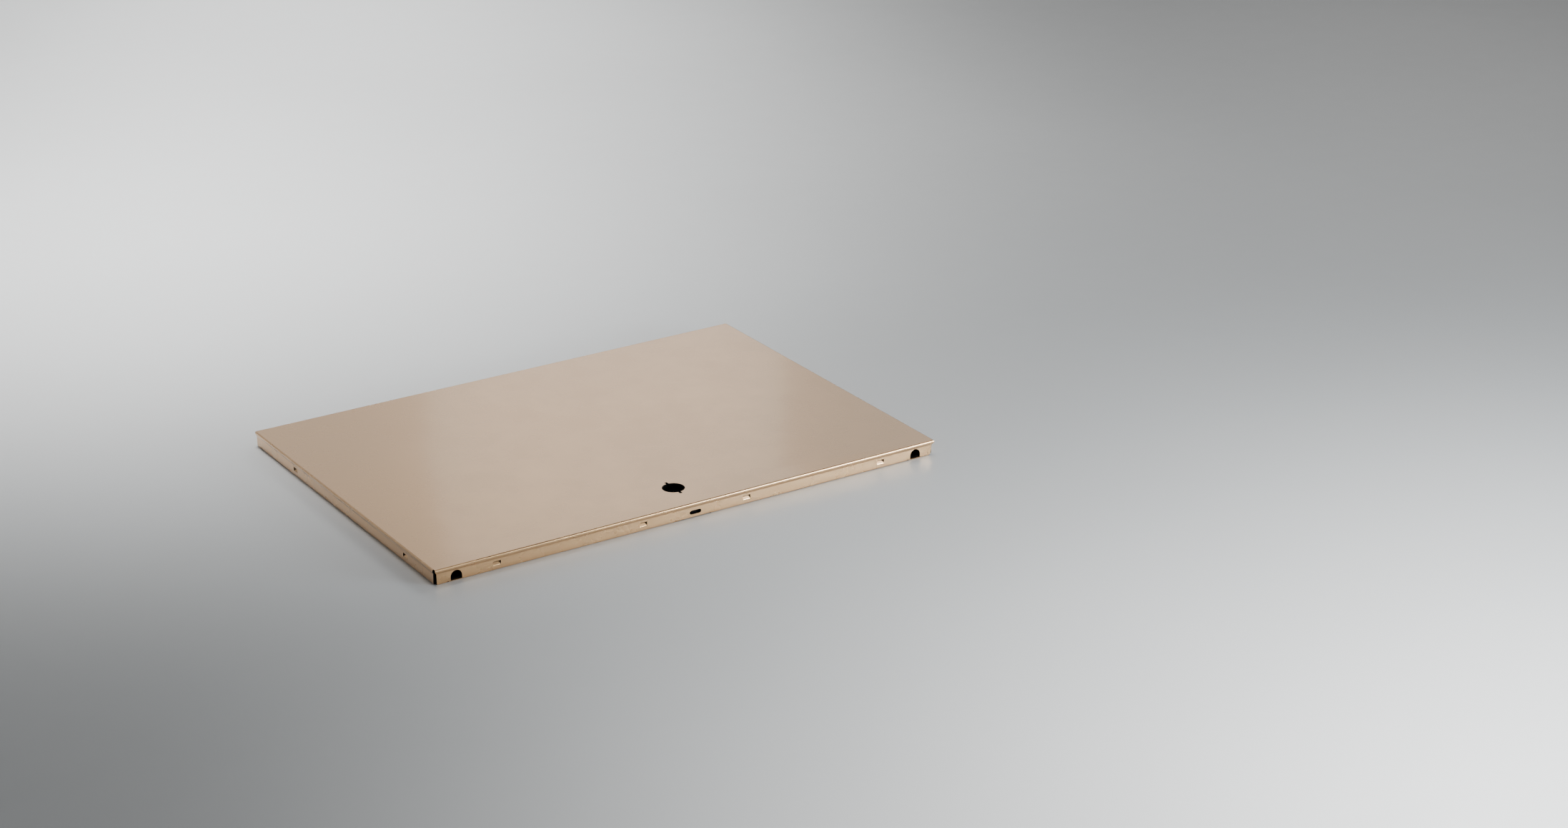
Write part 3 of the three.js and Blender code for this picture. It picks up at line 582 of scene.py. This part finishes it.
def bitumen():
    """Damping sheet: matt black with a pebbled skin and mineral specks."""
    g = Graph("bitumen")
    speck = g.ramp(g.noise(1800.0, 2.0), (0.55, (0.018, 0.017, 0.016)), (0.72, (0.06, 0.058, 0.055)))
    g.feed("Base Color", speck)
    g.feed("Roughness", g.levels(g.noise(200.0), 0.75, 0.95))
    g.bump(g.noise(260.0, 4.0), 0.4, 0.2 * MM)
    return g.material


finishes = {
    "champagne_lacquer": lacquer("champagne_lacquer", (0.81, 0.495, 0.24), (0.78, 0.48, 0.24), 0.27),
    "back_lacquer": lacquer("back_lacquer", (0.66, 0.42, 0.24), (0.60, 0.40, 0.24), 0.38),
    # the cut-edge finish is near-black painted shade
    "cut_edge_painted_shade": cut_edge_painted_shade(),
    "galvanised_steel": galvanised(),
    "bitumen": bitumen(),
    "black_polymer": moulded("black_polymer", (0.0007, 0.0007, 0.0008), 0.8),
    "rotor_polymer": moulded("rotor_polymer", (0.0015, 0.0015, 0.0018), 0.75),
    "black_steel": metal("black_steel", (0.003, 0.003, 0.0035), (0.008, 0.008, 0.009), 0.55),
    "spring_steel": metal("spring_steel", (0.35, 0.36, 0.39), (0.50, 0.51, 0.53), 0.35),
    "zinc_steel": metal("zinc_steel", (0.48, 0.49, 0.50), (0.68, 0.69, 0.70), 0.38, (1, 1, 8)),
}
slot_of = {row["node"]: row["material_slot"] for row in frame["record"]["subparts"]}


def finish_cad_node(name, node):
    """Gives a CAD node its finish, and softens its sharp edges a little."""
    node.data.materials.clear()
    node.data.materials.append(finishes[slot_of[name]])
    weld = node.modifiers.new("weld", "WELD")
    weld.merge_threshold = WELD_DISTANCE
    rounded_edges(node, PIECE_ROUNDING).use_clamp_overlap = True


for node_name, node in frame["nodes"].items():
    finish_cad_node(node_name, node)


outer_pan(finishes["champagne_lacquer"])


# ---- Floor, lights and camera ----
def floor():
    g = Graph("floor")
    tone = g.ramp(g.noise(1.3, 2.0), (0.3, (0.52, 0.53, 0.53)), (0.7, (0.56, 0.57, 0.57)))
    g.feed("Base Color", tone)
    g.feed("Roughness", g.levels(g.noise(30.0, 3.0), 0.34, 0.40))
    bpy.ops.mesh.primitive_plane_add(size=30.0)
    plane = bpy.context.object
    plane.name = "floor"
    plane.data.materials.append(g.material)


def area_light(name, place, aim, size, power, colour=(1, 1, 1), spread=180):
    data = bpy.data.lights.new(name, "AREA")
    data.spread = math.radians(spread)
    data.shape = "RECTANGLE"
    data.size, data.size_y = size
    data.energy = power
    data.color = colour
    lamp = bpy.data.objects.new(name, data)
    lamp.location = place
    lamp.rotation_euler = (Vector(aim) - Vector(place)).to_track_quat("-Z", "Y").to_euler()
    bpy.context.collection.objects.link(lamp)


WORLD_BANDS = ((0.0, 0.03), (0.18, 0.03), (0.36, 0.94), (0.54, 0.32), (0.78, 0.0))  # height, brightness


def studio():
    """A dark room with a bright band at middle height, strips overhead, and a key from the right."""
    world = bpy.data.worlds.new("studio")
    bpy.context.scene.world = world
    world.use_nodes = True
    nodes = world.node_tree.nodes
    links = world.node_tree.links
    where = nodes.new("ShaderNodeTexCoord").outputs["Generated"]
    split = nodes.new("ShaderNodeSeparateXYZ")
    links.new(where, split.inputs["Vector"])
    band = nodes.new("ShaderNodeValToRGB")
    stops = band.color_ramp.elements
    while len(stops) < len(WORLD_BANDS):
        stops.new(0.5)
    for element, (place, value) in zip(stops, WORLD_BANDS):
        element.position = place
        element.color = (value, value, value, 1)
    links.new(split.outputs["Z"], band.inputs["Fac"])
    links.new(band.outputs["Color"], nodes["Background"].inputs["Color"])
    area_light("strip_back", (0.35, 1.5, 2.2), (0.3, 1.4, 0), (0.5, 1.6), 15.7, spread=50)
    area_light("strip_middle", (0.3, 0.2, 2.2), (0.3, 0.2, 0), (0.4, 1.0), 0.9, spread=50)
    area_light("strip_front", (0.3, -1.4, 2.0), (0.3, -1.3, 0), (0.5, 1.0), 21.0, spread=50)
    area_light("strip_left", (-0.3, 0.8, 1.6), (-0.25, 0.7, 0), (0.4, 0.8), 5.1, spread=50)
    cool = (0.88, 1.0, 1.1)
    area_light("front_low", (1.15, -1.5, 0.28), (0.25, -0.18, 0), (0.7, 0.3), 8.4, cool, spread=90)
    area_light("back_softbox", (1.373, 2.407, 1.148), (0, 0, 0), (0.7, 1.2), 1.4)
    area_light("right_key", (1.6, 0.4, 1.3), (0, 0, 0), (0.5, 0.5), 8.6)
    area_light("tongue_glint", (0.9, -1.1, 0.9), (0, 0, 0), (0.3, 0.3), 1.6)


CAMERA_AZIMUTH = math.radians(-33.088)
CAMERA_ELEVATION = math.radians(22.501)
CAMERA_PLACE = (-1.28287, -2.28117, 1.1167)
CAMERA_LENS_MM = 72.72


def camera():
    data = bpy.data.cameras.new("camera")
    data.lens = CAMERA_LENS_MM
    data.sensor_width = 36.0
    data.clip_end = 60.0
    cam = bpy.data.objects.new("camera", data)
    bpy.context.collection.objects.link(cam)
    back = Vector(
        (
            math.sin(CAMERA_AZIMUTH) * math.cos(CAMERA_ELEVATION),
            -math.cos(CAMERA_AZIMUTH) * math.cos(CAMERA_ELEVATION),
            math.sin(CAMERA_ELEVATION),
        )
    )
    cam.location = CAMERA_PLACE
    cam.rotation_euler = (-back).to_track_quat("-Z", "Y").to_euler()
    bpy.context.scene.camera = cam


floor()
studio()
camera()
